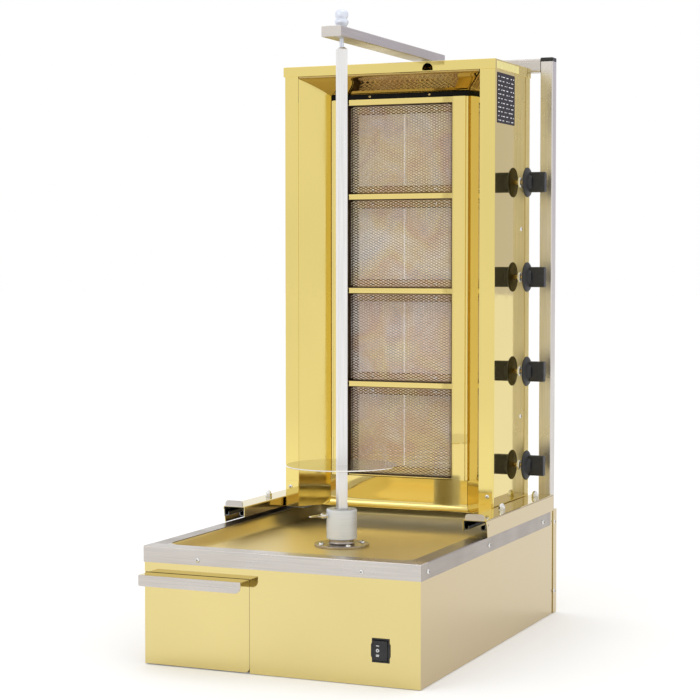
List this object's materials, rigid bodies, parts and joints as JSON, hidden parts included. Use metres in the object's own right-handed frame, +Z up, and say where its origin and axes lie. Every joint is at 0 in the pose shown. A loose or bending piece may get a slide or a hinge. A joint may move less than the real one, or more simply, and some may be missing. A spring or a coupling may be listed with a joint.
{
  "type": "vertical rotisserie broiler",
  "caption": "Vertical gas rotisserie broiler: mirror-gold base with drip pan and drawer, powered square spit with top arm, and a sliding tower of ceramic burners.",
  "frame": {"origin": "centre of the base's underside, on the surface it stands on", "axes": "+Z up, -Y to the front where the drawer is, +X to the knob side"},
  "size_m": [0.496, 0.7315, 1.0776],
  "materials": {
    "gold_sheet": "mirror polished, titanium gold coated steel",
    "brushed_steel": "brushed stainless steel",
    "turned_aluminium": "satin turned",
    "black_plastic": "fine grain",
    "brass": "turned",
    "bright_screws": "bright plated",
    "ceramic": "perforated radiant plaque, heat tinted",
    "plain_sheet": "plain mill finish",
    "gear_casting": "as cast",
    "motor_paint": "semi gloss",
    "heat_screen": "expanded wire screen, heat tinted",
    "polished_steel": "polished",
    "plate_film": "blank plate"
  },
  "bodies": {
    "base": {"base_shell": "gold_sheet", "base_floor": "plain_sheet", "rear_cover": "gold_sheet", "rim": "brushed_steel", "drip_pan": "gold_sheet", "base_screws": "bright_screws", "drawer_guide_left": "plain_sheet", "drawer_guide_right": "plain_sheet", "motor_bracket": "plain_sheet", "gearbox": "gear_casting", "motor": "motor_paint", "spit_bearing": "gear_casting", "hub_flange": "brushed_steel", "switch_housing": "black_plastic", "rail_left": "gold_sheet", "rail_right": "gold_sheet", "rail_stops": "brushed_steel", "rail_nuts": "bright_screws", "post": "brushed_steel", "post_cap": "black_plastic", "rear_crossbar": "brushed_steel", "top_arm": "brushed_steel"},
    "drawer": {"drawer_front": "gold_sheet", "drawer_tray": "plain_sheet"},
    "rocker": {"switch_rocker": "black_plastic"},
    "spit": {"drive_shaft": "plain_sheet", "drive_collar": "turned_aluminium", "spit_bar": "brushed_steel", "meat_disc": "polished_steel"},
    "wing": {"wing_screw": "bright_screws"},
    "top_pin": {"top_knob": "turned_aluminium"},
    "tower": {"tower_side_left": "gold_sheet", "tower_side_right": "gold_sheet", "inner_wall_left": "gold_sheet", "inner_wall_right": "gold_sheet", "tower_cap": "gold_sheet", "tower_rear": "gold_sheet", "ceiling_deflector": "gold_sheet", "floor_shield": "gold_sheet", "tower_floor": "plain_sheet", "burner_frame": "gold_sheet", "slider_shoes": "plain_sheet", "tower_screws": "bright_screws", "rating_plates": "plate_film", "ceramic_tiles": "ceramic", "burner_screens": "heat_screen", "gas_taps": "brass", "gas_manifold": "brass", "burner_1": "gold_sheet", "burner_2": "gold_sheet", "burner_3": "gold_sheet", "burner_4": "gold_sheet"},
    "knob_1": {"knob_1": "black_plastic", "knob_stem_1": "brass"},
    "knob_2": {"knob_2": "black_plastic", "knob_stem_2": "brass"},
    "knob_3": {"knob_3": "black_plastic", "knob_stem_3": "brass"},
    "knob_4": {"knob_4": "black_plastic", "knob_stem_4": "brass"}
  },
  "joints": [
    {"name": "spit_spin", "type": "hinge", "parent": "base", "child": "spit", "pos_m": [0, -0.0985, 0.3], "axis": [0, 0, 1], "continuous": true},
    {"name": "tower_slide", "type": "slide", "parent": "base", "child": "tower", "axis": [0, -1, 0], "range_m": [0, 0.14]},
    {"name": "drawer_pull", "type": "slide", "parent": "base", "child": "drawer", "axis": [0, -1, 0], "range_m": [0, 0.3]},
    {"name": "rocker_tip", "type": "hinge", "parent": "base", "child": "rocker", "pos_m": [0.175, -0.349, 0.056], "axis": [1, 0, 0], "range_deg": [-9, 9]},
    {"name": "wing_turn", "type": "hinge", "parent": "spit", "child": "wing", "pos_m": [0, -0.0985, 0.225], "axis": [-0.7581, -0.6521, 0], "range_deg": [0, 360]},
    {"name": "pin_lift", "type": "slide", "parent": "base", "child": "top_pin", "axis": [0, 0, 1], "range_m": [0, 0.05]},
    {"name": "knob_1_turn", "type": "hinge", "parent": "tower", "child": "knob_1", "pos_m": [0.22, 0.248, 0.2845], "axis": [1, 0, 0], "range_deg": [0, 180]},
    {"name": "knob_2_turn", "type": "hinge", "parent": "tower", "child": "knob_2", "pos_m": [0.22, 0.248, 0.4558], "axis": [1, 0, 0], "range_deg": [0, 180]},
    {"name": "knob_3_turn", "type": "hinge", "parent": "tower", "child": "knob_3", "pos_m": [0.22, 0.248, 0.6271], "axis": [1, 0, 0], "range_deg": [0, 180]},
    {"name": "knob_4_turn", "type": "hinge", "parent": "tower", "child": "knob_4", "pos_m": [0.22, 0.248, 0.7984], "axis": [1, 0, 0], "range_deg": [0, 180]}
  ]
}
